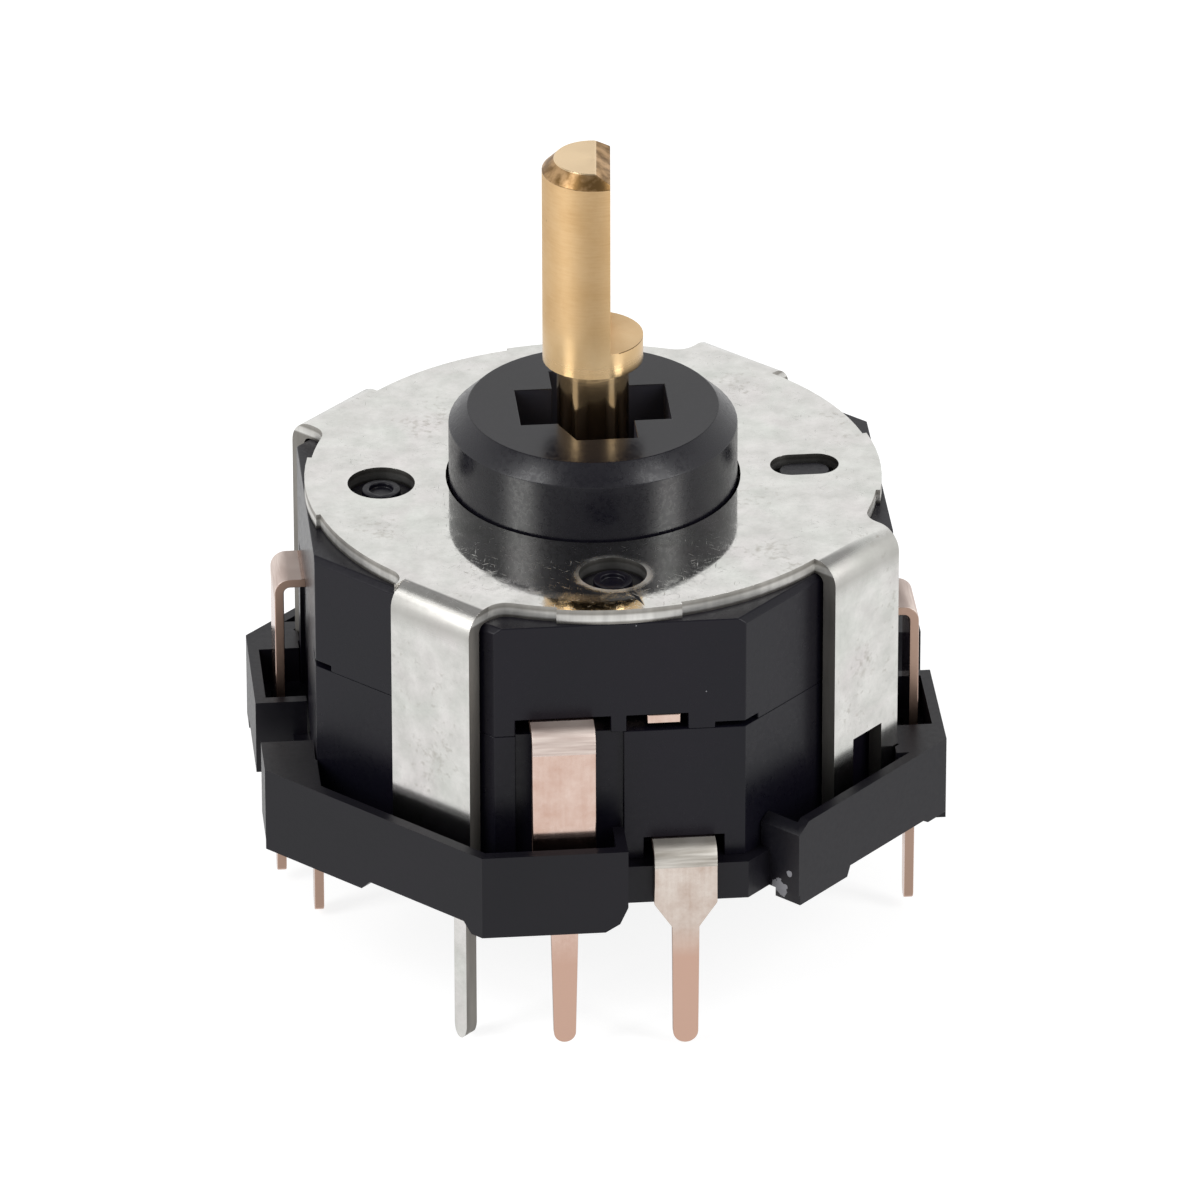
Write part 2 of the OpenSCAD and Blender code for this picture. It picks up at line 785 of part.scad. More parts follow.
module tilt_carrier() color(natural) {
    difference() {
        union() {
            translate([0, 0, disc_low]) cylinder(r = hub_r, h = 7.6 - disc_low);
            translate([0, 0, disc_low]) cylinder(r = disc_r, h = disc_top - disc_low);
            for (k = [0 : 3]) rotate(90 * k) translate([presser_reach, 0, presser_low])
                cylinder(r = 0.8, h = disc_low - presser_low + eps);
        }
        cylinder(r = sleeve_r + running_gap, h = cover_top);
        translate([0, -hub_r - 1, tilt_z]) rotate([-90, 0, 0])
            cylinder(r = gimbal_pin_r + gimbal_pin_gap, h = 2 * hub_r + 2);
    }
}

// Round bar with two flats
module keyed_outline(r, half) {
    intersection() {
        circle(r = r);
        square([2 * r, 2 * half], center = true);
    }
}

module drive_sleeve() color(black) {
    difference() {
        union() {
            translate([0, 0, sleeve_low]) cylinder(r = sleeve_r, h = arms_low - sleeve_low + eps);
            prism(arms_low, sleeve_top) keyed_cross(sleeve_gap);
        }
        prism(sleeve_low - 1, sleeve_top + 1) keyed_outline(neck_r + key_gap, key_half + key_gap);
    }
}

module sleeve_washer() color(steel) ring(sleeve_r + pressed_gap, 2.5, sleeve_low, disc_low - 0.05);

module shaft() color(brass) {
    chamfer_foot = shaft_top - tip_chamfer;
    key_top = 9.3;
    slope_w = 0.49;
    tip_seat_r = 0.5;
    tip_seat_h = 0.3;
    difference() {
        union() {
            prism(groove_high, key_top) keyed_outline(neck_r, key_half);
            translate([0, 0, groove_low - tip_seat_h])
                cylinder(r = tip_seat_r, h = groove_high - groove_low + tip_seat_h);
            translate([0, 0, groove_low - eps])
                cylinder(r = groove_r, h = groove_high - groove_low + 2 * eps);
            translate([0, 0, key_top]) cylinder(r = neck_r, h = shaft_shoulder - key_top + eps);
            translate([0, 0, shaft_shoulder]) cylinder(r = shaft_r, h = chamfer_foot - shaft_shoulder);
            translate([0, 0, chamfer_foot])
                cylinder(r1 = shaft_r, r2 = shaft_r - tip_chamfer, h = tip_chamfer);
        }
        rotate(shaft_turn) {
            span([flat_offset, 3], [-3, 3], [flat_foot, shaft_top + 1]);
            across(-3, 3) polygon([[flat_offset - slope_w, shaft_top], [flat_offset + eps, shaft_top - 0.3],
                [flat_offset + eps, shaft_top + 1], [flat_offset - slope_w, shaft_top + 1]]);
        }
    }
}

module shaft_clip() color(steel) {
    difference() {
        ring(groove_r + 0.02, 1.45, clip_low, clip_high);
        span([0, 2], [-0.45, 0.45], [3, 5]);
    }
}

module push_tip() color(natural) {
    cap_r = 1.0;
    cap_low = 3.4;
    ball_r = 4;
    difference() {
        intersection() {
            translate([0, 0, cap_low]) cylinder(r = cap_r, h = 0.44);
            translate([0, 0, cap_low + ball_r]) sphere(r = ball_r);
        }
        translate([0, 0, 3.54]) cylinder(r = 0.51, h = 1);
    }
}

// Shallow snap dome, a shell of even thickness
module dome(r, height) {
    shell = 0.08;
    ball = (r * r + height * height) / (2 * height);
    translate([0, 0, block_top]) rotate_extrude() intersection() {
        translate([0, height - ball]) difference() {
            circle(r = ball, $fn = 360);
            circle(r = ball - shell, $fn = 360);
        }
        square([r, height]);
    }
}

module direction_dome(turn) rotate(turn) translate([presser_reach, 0, 0]) dome(1.7, 0.35);

module direction_dome_east() color(steel) direction_dome(right);

module direction_dome_north() color(steel) direction_dome(back);

module direction_dome_west() color(steel) direction_dome(left);

module direction_dome_south() color(steel) direction_dome(front);

module centre_dome() color(steel) dome(2.0, 0.4);

module contact_pads() color(bronze) {
    for (k = [0 : 3]) rotate(90 * k) translate([presser_reach, 0, block_top - pad_sheet])
        cylinder(r = pad_r, h = pad_sheet);
    translate([0, 0, block_top - pad_sheet]) cylinder(r = centre_pad_r, h = pad_sheet);
}

// Height of the wire's middle: flat for the last quarter turn at each end
function spring_z(share) = spring_low + (spring_high - spring_low)
    * min(1, max(0, (share * spring_turns - 0.75) / (spring_turns - 1.5)));
function wire_point(step, side) = let (
    share = step / spring_steps,
    turn = 360 * spring_turns * share,
    tilt = 360 * side / wire_sides,
    reach = spring_r + wire_r * cos(tilt)
) [reach * cos(turn), reach * sin(turn), spring_z(share) + wire_r * sin(tilt)];

module return_spring() color(steel) {
    points = [for (i = [0 : spring_steps]) for (j = [0 : wire_sides - 1]) wire_point(i, j)];
    walls = [for (i = [0 : spring_steps - 1]) for (j = [0 : wire_sides - 1])
        let (a = i * wire_sides + j, b = i * wire_sides + (j + 1) % wire_sides)
        [a, a + wire_sides, b + wire_sides, b]];
    start = [for (j = [0 : wire_sides - 1]) j];
    end = [for (j = [wire_sides - 1 : -1 : 0]) spring_steps * wire_sides + j];
    polyhedron(points, concat(walls, [start], [end]));
}

cover();
upper_case();
middle_case();
base();
code_plate();
code_ring();
detent_spring();
encoder_terminal_front();
encoder_terminal_right();
encoder_terminal_left();
switch_terminal_front();
switch_terminal_left();
switch_terminal_right();
switch_terminal_back_near();
switch_terminal_back_middle();
switch_terminal_back_far();
rotor();
brush();
gimbal_ring();
gimbal_outer_pins();
gimbal_inner_pins();
tilt_carrier();
drive_sleeve();
sleeve_washer();
shaft();
shaft_clip();
push_tip();
return_spring();
direction_dome_east();
direction_dome_north();
direction_dome_west();
direction_dome_south();
centre_dome();
contact_pads();
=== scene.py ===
"""Navigation switch: a black switch body under a folded zinc-plated cover, with a ring that turns and a
brass shaft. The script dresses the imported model, adds a plain studio and places the camera."""

import json
import math

import bmesh
import bpy
from mathutils import Matrix, Vector


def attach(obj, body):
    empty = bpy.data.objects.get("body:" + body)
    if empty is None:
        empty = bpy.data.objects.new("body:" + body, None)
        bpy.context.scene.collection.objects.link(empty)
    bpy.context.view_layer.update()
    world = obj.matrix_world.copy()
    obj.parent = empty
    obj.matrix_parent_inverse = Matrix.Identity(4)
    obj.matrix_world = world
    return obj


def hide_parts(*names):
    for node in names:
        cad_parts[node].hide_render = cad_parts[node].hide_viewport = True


MM = 0.001

# Sizes of the part that both its finishes and its edges go by, in millimetres
COVER_TOP = 10.6
SHEET = 0.5
ROTOR_TOP = 13.08

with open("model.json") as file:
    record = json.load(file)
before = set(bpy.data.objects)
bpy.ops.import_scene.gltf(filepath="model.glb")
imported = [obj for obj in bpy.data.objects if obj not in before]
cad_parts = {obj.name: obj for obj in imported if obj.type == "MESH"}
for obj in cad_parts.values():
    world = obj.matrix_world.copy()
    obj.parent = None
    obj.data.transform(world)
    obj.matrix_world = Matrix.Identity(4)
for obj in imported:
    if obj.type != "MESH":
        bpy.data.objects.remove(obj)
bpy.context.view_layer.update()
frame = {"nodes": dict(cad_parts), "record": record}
behaviour = frame["record"]["behaviour"]
BODY_OF = {name: body for body, names in behaviour["bodies"].items() for name in names}


def colour(code):
    """Linear colour of an sRGB hex value."""
    parts = [int(code[i : i + 2], 16) / 255 for i in (1, 3, 5)]
    linear = [c / 12.92 if c <= 0.04045 else ((c + 0.055) / 1.055) ** 2.4 for c in parts]
    return (*linear, 1)


def per_mm(size):
    """Scale of a pattern on Object coordinates, which are in metres, for features that many millimetres
    across."""
    return 1 / (size * MM)


def node(tree, kind, inputs=None, **settings):
    """Adds a node, sets its properties, and sets or links its inputs."""
    made = tree.nodes.new(kind)
    for name, value in settings.items():
        setattr(made, name, value)
    for key, value in (inputs or {}).items():
        if isinstance(value, bpy.types.NodeSocket):
            tree.links.new(value, made.inputs[key])
        else:
            made.inputs[key].default_value = value
    return made


def material(name):
    """A new material with an empty tree."""
    made = bpy.data.materials.new(name)
    made.use_nodes = True
    made.node_tree.nodes.clear()
    return made, made.node_tree


# Camera, fitted to the photograph, whose frame is square
CAMERA_PLACE = Vector((0, -349.498, 194.008)) * MM
CAMERA_PITCH = 0.493478
CAMERA_YAW = 0.0006125
CAMERA_ROLL = -0.0017449
OBJECT_TURN = Matrix.Rotation(math.radians(-5.2), 4, "Z")
LENS = 371.65
SENSOR_WIDTH = 36
CLIP_START = 0.05


def link(name, data):
    """A new object of the scene."""
    made = bpy.data.objects.new(name, data)
    bpy.context.collection.objects.link(made)
    return made


def camera():
    """The photograph's view. The object stands turned a little against it."""
    data = bpy.data.cameras.new("camera")
    data.sensor_width = SENSOR_WIDTH
    data.lens = LENS
    data.clip_start = CLIP_START
    made = link("camera", data)
    forward = Vector((math.sin(CAMERA_YAW) * math.cos(CAMERA_PITCH),
        math.cos(CAMERA_YAW) * math.cos(CAMERA_PITCH), -math.sin(CAMERA_PITCH)))
    level = forward.cross(Vector((0, 0, 1))).normalized()
    upright = level.cross(forward)
    right = level * math.cos(CAMERA_ROLL) + upright * math.sin(CAMERA_ROLL)
    up = upright * math.cos(CAMERA_ROLL) - level * math.sin(CAMERA_ROLL)
    turn = Matrix((right, up, -forward)).transposed().to_4x4()
    made.matrix_world = OBJECT_TURN @ Matrix.Translation(CAMERA_PLACE) @ turn
    bpy.context.scene.camera = made


camera()


# Materials
# Heights between which the cover's bends fade into its legs, and into its top
BEND_FOOT = (9.3, 9.8)
BEND_TOP = (10.4, COVER_TOP - 0.03)
# Middle of the cover's front hole, whose rim the punch left worn, and the distances over which that fades
PUNCHED_HOLE = (0, -6.77 * MM, COVER_TOP * MM)
WORN_RIM = (1.15, 1.37)
# Directions of the cover's scratches, in degrees, and how many times as long as wide they are
SCRATCH_TURNS = (24, -38, 81, 131)
SCRATCH_STRETCH = 8


def zinc_plated_sheet():
    """Bright zinc plating on cold-rolled steel: a mirror with a faint mottle, soft grey smudges and hairline
    scratches, which shine where the mirror shows something dark. The legs are duller, and the bends, where
    the bending stretched the plating, are dull and crinkled; their colour is darkened as painted shade."""
    made, tree = material("zinc_plated_sheet")
    place = node(tree, "ShaderNodeTexCoord").outputs["Object"]
    clouds = node(tree, "ShaderNodeTexNoise", {"Vector": place, "Scale": per_mm(0.8), "Detail": 7,
        "Roughness": 0.65})
    mottle = node(tree, "ShaderNodeMapRange", {"Value": clouds.outputs["Fac"], "From Min": 0.34,
        "From Max": 0.66})
    tone = node(tree, "ShaderNodeMix", {"Factor": mottle.outputs["Result"], 6: colour("#d2d2ce"),
        7: colour("#e8e7e4")}, data_type="RGBA")
    hue = node(tree, "ShaderNodeTexNoise", {"Vector": place, "Scale": per_mm(2.2), "Detail": 2,
        "Distortion": 1})
    tint = node(tree, "ShaderNodeMix", {"Factor": hue.outputs["Fac"], 6: colour("#f6fbf7"),
        7: colour("#fcf6f9")}, data_type="RGBA")
    tinted = node(tree, "ShaderNodeMix", {0: 1.0, 6: tone.outputs[2], 7: tint.outputs[2]},
        data_type="RGBA", blend_type="MULTIPLY")
    height = node(tree, "ShaderNodeSeparateXYZ", {"Vector": place}).outputs["Z"]
    bent = node(tree, "ShaderNodeMapRange", {"Value": height, "From Min": BEND_TOP[0] * MM,
        "From Max": BEND_TOP[1] * MM, "To Min": 1, "To Max": 0})
    low = node(tree, "ShaderNodeMapRange", {"Value": height, "From Min": BEND_FOOT[0] * MM,
        "From Max": BEND_FOOT[1] * MM})
    curved = node(tree, "ShaderNodeMath", {0: bent.outputs["Result"], 1: low.outputs["Result"]},
        operation="MULTIPLY")
    grit = node(tree, "ShaderNodeTexNoise", {"Vector": place, "Scale": per_mm(0.22), "Detail": 3})
    patches = node(tree, "ShaderNodeTexNoise", {"Vector": place, "Scale": per_mm(2.4), "Detail": 3})
    both = node(tree, "ShaderNodeMath", {0: grit.outputs["Fac"], 1: patches.outputs["Fac"]}, operation="ADD")
    marks = node(tree, "ShaderNodeMapRange", {"Value": both.outputs[0], "From Min": 1.18, "From Max": 1.42,
        "To Max": 0.7})
    smudged = node(tree, "ShaderNodeMix", {"Factor": marks.outputs["Result"], 6: tinted.outputs[2],
        7: colour("#aeaaa2")}, data_type="RGBA")
    # Painted shade: the bends' colour is mixed towards a darker grey, so that they show less bright.
    bend_shade_share = node(tree, "ShaderNodeMath", {0: curved.outputs[0], 1: 0.6}, operation="MULTIPLY")
    blended = node(tree, "ShaderNodeMix", {"Factor": bend_shade_share.outputs[0], 6: smudged.outputs[2],
        7: colour("#a9a7a2")}, data_type="RGBA")
    away = node(tree, "ShaderNodeVectorMath", {0: place, 1: PUNCHED_HOLE}, operation="DISTANCE")
    ring = node(tree, "ShaderNodeMapRange", {"Value": away.outputs["Value"],
        "From Min": WORN_RIM[0] * MM, "From Max": WORN_RIM[1] * MM, "To Min": 0.85, "To Max": 0})
    chips = node(tree, "ShaderNodeTexNoise", {"Vector": place, "Scale": per_mm(0.8), "Detail": 4})
    chipped = node(tree, "ShaderNodeMapRange", {"Value": chips.outputs["Fac"], "From Min": 0.34,
        "From Max": 0.64, "To Min": 0.45, "To Max": 0.95})
    rim = node(tree, "ShaderNodeMath", {0: ring.outputs["Result"], 1: chipped.outputs["Result"]},
        operation="MULTIPLY")
    flat = node(tree, "ShaderNodeMapRange", {"Value": bent.outputs["Result"], "To Min": 1, "To Max": 0.15})
    rubbed = node(tree, "ShaderNodeMath", {0: scratches(tree, place), 1: flat.outputs["Result"]},
        operation="MULTIPLY")
    wear = node(tree, "ShaderNodeMath", {0: rubbed.outputs[0], 1: rim.outputs[0]}, operation="MAXIMUM")
    haze = node(tree, "ShaderNodeTexNoise", {"Vector": place, "Scale": per_mm(0.7), "Detail": 6,
        "Roughness": 0.7})
    dull = node(tree, "ShaderNodeMapRange", {"Value": haze.outputs["Fac"], "From Min": 0.5, "From Max": 0.72,
        "To Min": 0.05, "To Max": 0.24})
    smooth = node(tree, "ShaderNodeMix", {"Factor": bent.outputs["Result"], 2: dull.outputs["Result"],
        3: 0.17}, data_type="FLOAT")
    bend = node(tree, "ShaderNodeMix", {"Factor": curved.outputs[0], 2: smooth.outputs[0], 3: 0.44},
        data_type="FLOAT")
    rough = node(tree, "ShaderNodeMix", {"Factor": wear.outputs[0], 2: bend.outputs[0], 3: 0.6},
        data_type="FLOAT")
    peel = node(tree, "ShaderNodeTexNoise", {"Vector": place, "Scale": per_mm(0.45), "Detail": 6,
        "Roughness": 0.6})
    crinkle = node(tree, "ShaderNodeMapRange", {"Value": curved.outputs[0], "To Min": 0.001 * MM,
        "To Max": 0.007 * MM})
    bump = node(tree, "ShaderNodeBump", {"Height": peel.outputs["Fac"],
        "Distance": crinkle.outputs["Result"]})
    shader = node(tree, "ShaderNodeBsdfPrincipled", {"Base Color": blended.outputs[2], "Metallic": 1,
        "Roughness": rough.outputs[0], "Normal": bump.outputs["Normal"]})
    node(tree, "ShaderNodeOutputMaterial", {"Surface": shader.outputs[0]})
    return made


def scratches(tree, place):
    """Hairlines in four directions, drawn about 0.03 mm wide so that they show. They lie close together in
    some places and faint in others: 0 is clean and 1 is scratched."""
    total = None
    for turn in SCRATCH_TURNS:
        along = node(tree, "ShaderNodeMapping", {"Vector": place, "Rotation": (0, 0, math.radians(turn)),
            "Scale": (SCRATCH_STRETCH, 1, 1)}, vector_type="TEXTURE")
        lines = node(tree, "ShaderNodeTexNoise", {"Vector": along.outputs["Vector"], "Scale": per_mm(0.065),
            "Detail": 2, "Roughness": 0.5})
        shown = node(tree, "ShaderNodeMapRange", {"Value": lines.outputs["Fac"], "From Min": 0.655,
            "From Max": 0.74}).outputs["Result"]
        total = shown if total is None else node(tree, "ShaderNodeMath", {0: total, 1: shown},
            operation="MAXIMUM").outputs[0]
    rubs = node(tree, "ShaderNodeTexNoise", {"Vector": place, "Scale": per_mm(1.8), "Detail": 2})
    share = node(tree, "ShaderNodeMapRange", {"Value": rubs.outputs["Fac"], "From Min": 0.38,
        "From Max": 0.6, "To Min": 0.2, "To Max": 0.8})
    return node(tree, "ShaderNodeMath", {0: total, 1: share.outputs["Result"]},
        operation="MULTIPLY").outputs[0]


# Tones of a cut edge of the cover, each at its share of the way up
CUT_BANDS = ((0, "#8a8782"), (0.12, "#8d8a85"), (0.25, "#dddcd8"), (0.58, "#d0ceca"), (0.72, "#98958f"),
    (1, "#a8a5a0"))


def sheared_edge(name, shade):
    """Cold-rolled steel where the cover was cut: grey, with the shear's bright band between a rolled and a
    torn line. A shade below 1 darkens it as painted shade, for walls that face the dark inside of the switch."""
    made, tree = material(name)
    place = node(tree, "ShaderNodeTexCoord").outputs["Object"]
    height = node(tree, "ShaderNodeSeparateXYZ", {"Vector": place})
    level = node(tree, "ShaderNodeMapRange", {"Value": height.outputs["Z"],
        "From Min": (COVER_TOP - SHEET) * MM, "From Max": COVER_TOP * MM})
    bands = node(tree, "ShaderNodeValToRGB", {"Fac": level.outputs["Result"]})
    stops = bands.color_ramp.elements
    stops[0].color = colour(CUT_BANDS[0][1])
    stops[1].color = colour(CUT_BANDS[-1][1])
    for position, code in CUT_BANDS[1:-1]:
        stops.new(position).color = colour(code)
    down = node(tree, "ShaderNodeMapping", {"Vector": place, "Scale": (1, 1, 0.15)})
    lines = node(tree, "ShaderNodeTexNoise", {"Vector": down.outputs["Vector"], "Scale": per_mm(0.3),
        "Detail": 5})
    streaks = node(tree, "ShaderNodeMapRange", {"Value": lines.outputs["Fac"], "To Min": 0.65 * shade,
        "To Max": 1.35 * shade})
    tone = node(tree, "ShaderNodeMix", {0: 1.0, 6: bands.outputs["Color"], 7: streaks.outputs["Result"]},
        data_type="RGBA", blend_type="MULTIPLY")
    bump = node(tree, "ShaderNodeBump", {"Height": lines.outputs["Fac"], "Distance": 0.004 * MM})
    shader = node(tree, "ShaderNodeBsdfPrincipled", {"Base Color": tone.outputs[2], "Metallic": 1,
        "Roughness": 0.52, "Normal": bump.outputs["Normal"]})
    node(tree, "ShaderNodeOutputMaterial", {"Surface": shader.outputs[0]})
    return made


# Radius of the plastic's pale specks, as a share of the distance between them
SPECK = 0.014
# Places on the base where its gate was broken off, each with its radius, in millimetres
GATE_SCARS = ((5.05, -9.25, 0.4, 0.28), (5.33, -9.53, 1.04, 0.11))


def moulded_plastic(name, dark, light, roughness, specular, scars=(), uneven=0.06):
    """Glass-filled PBT, moulded: near black with a soft gloss, a fine grain and a few pale specks. Uneven is
    how far the roughness varies, and scars are pale torn places, each with its radius."""
    made, tree = material(name)
    place = node(tree, "ShaderNodeTexCoord").outputs["Object"]
    clouds = node(tree, "ShaderNodeTexNoise", {"Vector": place, "Scale": per_mm(3), "Detail": 4})
    tone = node(tree, "ShaderNodeMix", {"Factor": clouds.outputs["Fac"], 6: colour(dark), 7: colour(light)},
        data_type="RGBA")
    cells = node(tree, "ShaderNodeTexVoronoi", {"Vector": place, "Scale": per_mm(1.6)})
    specks = node(tree, "ShaderNodeMath", {0: cells.outputs["Distance"], 1: SPECK}, operation="LESS_THAN")
    pale = specks.outputs[0]
    for x, y, z, radius in scars:
        ragged = node(tree, "ShaderNodeTexNoise", {"Vector": place, "Scale": per_mm(0.2), "Detail": 4})
        away = node(tree, "ShaderNodeVectorMath", {0: place, 1: (x * MM, y * MM, z * MM)},
            operation="DISTANCE")
        torn = node(tree, "ShaderNodeMath", {0: ragged.outputs["Fac"], 1: 2 * radius * MM},
            operation="MULTIPLY")
        inside = node(tree, "ShaderNodeMath", {0: away.outputs["Value"], 1: torn.outputs[0]},
            operation="LESS_THAN")
        pale = node(tree, "ShaderNodeMath", {0: pale, 1: inside.outputs[0]},
            operation="MAXIMUM").outputs[0]
    speckled = node(tree, "ShaderNodeMix", {"Factor": pale, 6: tone.outputs[2], 7: colour("#8b8b90")},
        data_type="RGBA")
    grain = node(tree, "ShaderNodeTexNoise", {"Vector": place, "Scale": per_mm(0.16), "Detail": 5,
        "Roughness": 0.6})
    gloss = node(tree, "ShaderNodeMapRange", {"Value": grain.outputs["Fac"], "From Min": 0.3, "From Max": 0.7,
        "To Min": roughness - uneven, "To Max": roughness + uneven})
    bump = node(tree, "ShaderNodeBump", {"Height": grain.outputs["Fac"], "Distance": 0.002 * MM})
    shader = node(tree, "ShaderNodeBsdfPrincipled", {"Base Color": speckled.outputs[2],
        "Roughness": gloss.outputs["Result"], "IOR": 1.5, "Specular IOR Level": specular,
        "Normal": bump.outputs["Normal"]})
    node(tree, "ShaderNodeOutputMaterial", {"Surface": shader.outputs[0]})
    return made


# Heights on the shaft at which its finish changes: the top of its neck, and the foot and top of the
# chamfers at its tip
NECK_TOP = 14.77
TIP_LOW = 21.4
TIP_TOP = 21.8
# How far below the shoulder the painted shade in its corner starts and where it is full, and the height it
# ends at
SHOULDER_SHADE_DEPTH = (0.14, 0.09)
SHOULDER_SHADE_TOP = NECK_TOP + 0.005
# Roughness at heights along the shaft, from its neck to its tip
BRASS_FINISH = ((12.0, 0.13), (NECK_TOP - 0.01, 0.13), (NECK_TOP, 0.2), (15.3, 0.32), (16.6, 0.6),
    (TIP_LOW - 0.02, 0.66), (TIP_LOW, 0.42), (TIP_TOP, 0.42), (TIP_TOP + 0.01, 0.2), (22.0, 0.2))
# Heights of the rim of the ledge beside the shaft's flat, which the tool left sharp and which is painted
# dark as a painted reflection, and the distance from the axis beyond which it lies
SHADED_LEDGE_RIM = (15.575, 15.607)
FLAT_SIDE = 0.7


def turned_brass():
    """Free-cutting brass, turned: fine rings around the shaft stretch its highlights along it. The neck and
    the tip were cut finer and shine, and the corner below the shoulder is painted dark, as painted shade."""
    made, tree = material("turned_brass")
    place = node(tree, "ShaderNodeTexCoord").outputs["Object"]
    clouds = node(tree, "ShaderNodeTexNoise", {"Vector": place, "Scale": per_mm(1.2), "Detail": 6,
        "Roughness": 0.6})
    tone = node(tree, "ShaderNodeMix", {"Factor": clouds.outputs["Fac"], 6: colour("#d0ab78"),
        7: colour("#e6ca9f")}, data_type="RGBA")
    squashed = node(tree, "ShaderNodeMapping", {"Vector": place, "Scale": (1, 1, 2.2)})
    nicks = node(tree, "ShaderNodeTexNoise", {"Vector": squashed.outputs["Vector"], "Scale": per_mm(0.35),
        "Detail": 2})
    nicked = node(tree, "ShaderNodeMapRange", {"Value": nicks.outputs["Fac"], "From Min": 0.74,
        "From Max": 0.78})
    marked = node(tree, "ShaderNodeMix", {"Factor": nicked.outputs["Result"], 6: tone.outputs[2],
        7: colour("#7d6440")}, data_type="RGBA")
    height = node(tree, "ShaderNodeSeparateXYZ", {"Vector": place}).outputs["Z"]
    # Painted shade: the corner below the shoulder is mixed towards a dark brown.
    corner = node(tree, "ShaderNodeMapRange", {"Value": height,
        "From Min": (NECK_TOP - SHOULDER_SHADE_DEPTH[0]) * MM, "From Max": (NECK_TOP - SHOULDER_SHADE_DEPTH[1]) * MM})
    below = node(tree, "ShaderNodeMath", {0: height, 1: SHOULDER_SHADE_TOP * MM}, operation="LESS_THAN")
    shoulder_shade = node(tree, "ShaderNodeMath", {0: corner.outputs["Result"], 1: below.outputs[0]},
        operation="MULTIPLY")
    # Painted reflection: the chamfers at the tip are mixed in patches between dark brown and tan, for the
    # dark surroundings they show.
    chamfer_shade_noise = node(tree, "ShaderNodeTexNoise", {"Vector": place, "Scale": per_mm(0.4), "Detail": 5})
    chamfer_shade_share = node(tree, "ShaderNodeMapRange", {"Value": chamfer_shade_noise.outputs["Fac"], "From Min": 0.4,
        "From Max": 0.62})
    chamfer = node(tree, "ShaderNodeMix", {"Factor": chamfer_shade_share.outputs["Result"], 6: colour("#84663f"),
        7: colour("#c39f74")}, data_type="RGBA")
    # Painted reflection: the flat top of the tip is a paler brass, for the bright surroundings it shows.
    level = node(tree, "ShaderNodeMath", {0: height, 1: TIP_TOP * MM}, operation="GREATER_THAN")
    end = node(tree, "ShaderNodeMix", {"Factor": level.outputs[0], 6: chamfer.outputs[2],
        7: colour("#e6cba4")}, data_type="RGBA")
    cut = node(tree, "ShaderNodeMath", {0: height, 1: TIP_LOW * MM}, operation="GREATER_THAN")
    tipped = node(tree, "ShaderNodeMix", {"Factor": cut.outputs[0], 6: marked.outputs[2],
        7: end.outputs[2]}, data_type="RGBA")
    # Painted reflection: the ledge's sharp rim is mixed towards a dark brown, for the dark it shows.
    across = node(tree, "ShaderNodeSeparateXYZ", {"Vector": place}).outputs["X"]
    rim = node(tree, "ShaderNodeMath", {0: across, 1: FLAT_SIDE * MM}, operation="GREATER_THAN").outputs[0]
    for z, side in zip(SHADED_LEDGE_RIM, ("GREATER_THAN", "LESS_THAN")):
        within = node(tree, "ShaderNodeMath", {0: height, 1: z * MM}, operation=side)
        rim = node(tree, "ShaderNodeMath", {0: rim, 1: within.outputs[0]}, operation="MULTIPLY").outputs[0]
    ledge_rim_shaded = node(tree, "ShaderNodeMix", {"Factor": rim, 6: tipped.outputs[2], 7: colour("#5e4426")},
        data_type="RGBA")
    toned = node(tree, "ShaderNodeMix", {"Factor": shoulder_shade.outputs[0], 6: ledge_rim_shaded.outputs[2],
        7: colour("#2b2016")}, data_type="RGBA")
    (low, neck), *between, (high, tip) = BRASS_FINISH
    share = node(tree, "ShaderNodeMapRange", {"Value": height, "From Min": low * MM, "From Max": high * MM})
    finish = node(tree, "ShaderNodeValToRGB", {"Fac": share.outputs["Result"]})
    stops = finish.color_ramp.elements
    stops[0].color = (neck, neck, neck, 1)
    stops[1].color = (tip, tip, tip, 1)
    for z, value in between:
        stops.new((z - low) / (high - low)).color = (value, value, value, 1)
    around = node(tree, "ShaderNodeMapping", {"Vector": place, "Scale": (0.12, 0.12, 1)})
    rings = node(tree, "ShaderNodeTexNoise", {"Vector": around.outputs["Vector"], "Scale": per_mm(0.06),
        "Detail": 3})
    grooved = node(tree, "ShaderNodeMapRange", {"Value": rings.outputs["Fac"], "To Min": 0.75,
        "To Max": 1.25})
    rough = node(tree, "ShaderNodeMath", {0: finish.outputs["Color"], 1: grooved.outputs["Result"]},
        operation="MULTIPLY")
    bump = node(tree, "ShaderNodeBump", {"Height": rings.outputs["Fac"], "Distance": 0.0007 * MM})
    turning = node(tree, "ShaderNodeTangent", direction_type="RADIAL", axis="Z")
    shader = node(tree, "ShaderNodeBsdfPrincipled", {"Base Color": toned.outputs[2], "Metallic": 1,
        "Roughness": rough.outputs[0], "Anisotropic": 0.6, "Anisotropic Rotation": 0.25,
        "Tangent": turning.outputs[0], "Normal": bump.outputs["Normal"]})
    node(tree, "ShaderNodeOutputMaterial", {"Surface": shader.outputs[0]})
    return made


# Heights from which the terminals' tin shows, how far it fades, and how far out from the axis it starts
ENCODER_TIN = 6.02
SWITCH_TIN = 1.75
TIN_FADE = 0.03
TIN_REACH = 9.3
# Heights between which the terminals turn into pins, which have less tin
PIN_HEIGHTS = (-1.5, -0.3)


